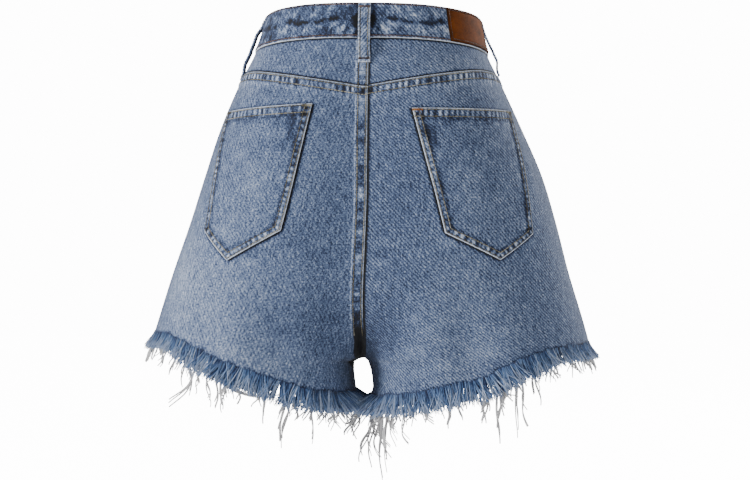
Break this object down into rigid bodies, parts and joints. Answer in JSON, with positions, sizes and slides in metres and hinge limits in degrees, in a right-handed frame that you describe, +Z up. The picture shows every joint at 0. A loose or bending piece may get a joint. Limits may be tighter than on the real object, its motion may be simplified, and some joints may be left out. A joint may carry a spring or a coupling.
{
  "type": "denim shorts",
  "caption": "High-waisted cut-off denim shorts, filled out as if worn, with a pointed back yoke, patch pockets, belt loops, a leather patch and frayed hems.",
  "frame": {"origin": "centre of the waist ring, at half the waistband's height", "axes": "+Z up, the wearer faces -Y, +X is the wearer's left"},
  "size_m": [0.4758, 0.226, 0.4808],
  "materials": {
    "denim": "washed twill, matt, worn pale on its edges",
    "leather": "brown leather, soft sheen",
    "brass": "aged brass, brushed",
    "cotton_fringe": "loose cotton yarn, matt"
  },
  "bodies": {
    "root": {"waistband_left": "denim", "waistband_right": "denim", "yoke_left": "denim", "yoke_right": "denim", "back_left": "denim", "back_right": "denim", "front_left": "denim", "front_right": "denim", "back_pocket_left": "denim", "back_pocket_right": "denim", "belt_loop_back": "denim", "belt_loop_side_left": "denim", "belt_loop_side_right": "denim", "belt_loop_front_left": "denim", "belt_loop_front_right": "denim", "leather_patch": "leather", "zip": "brass", "fly_shield": "denim", "waist_button": "brass", "hem_fringe_left": "cotton_fringe", "hem_fringe_right": "cotton_fringe"}
  },
  "joints": []
}
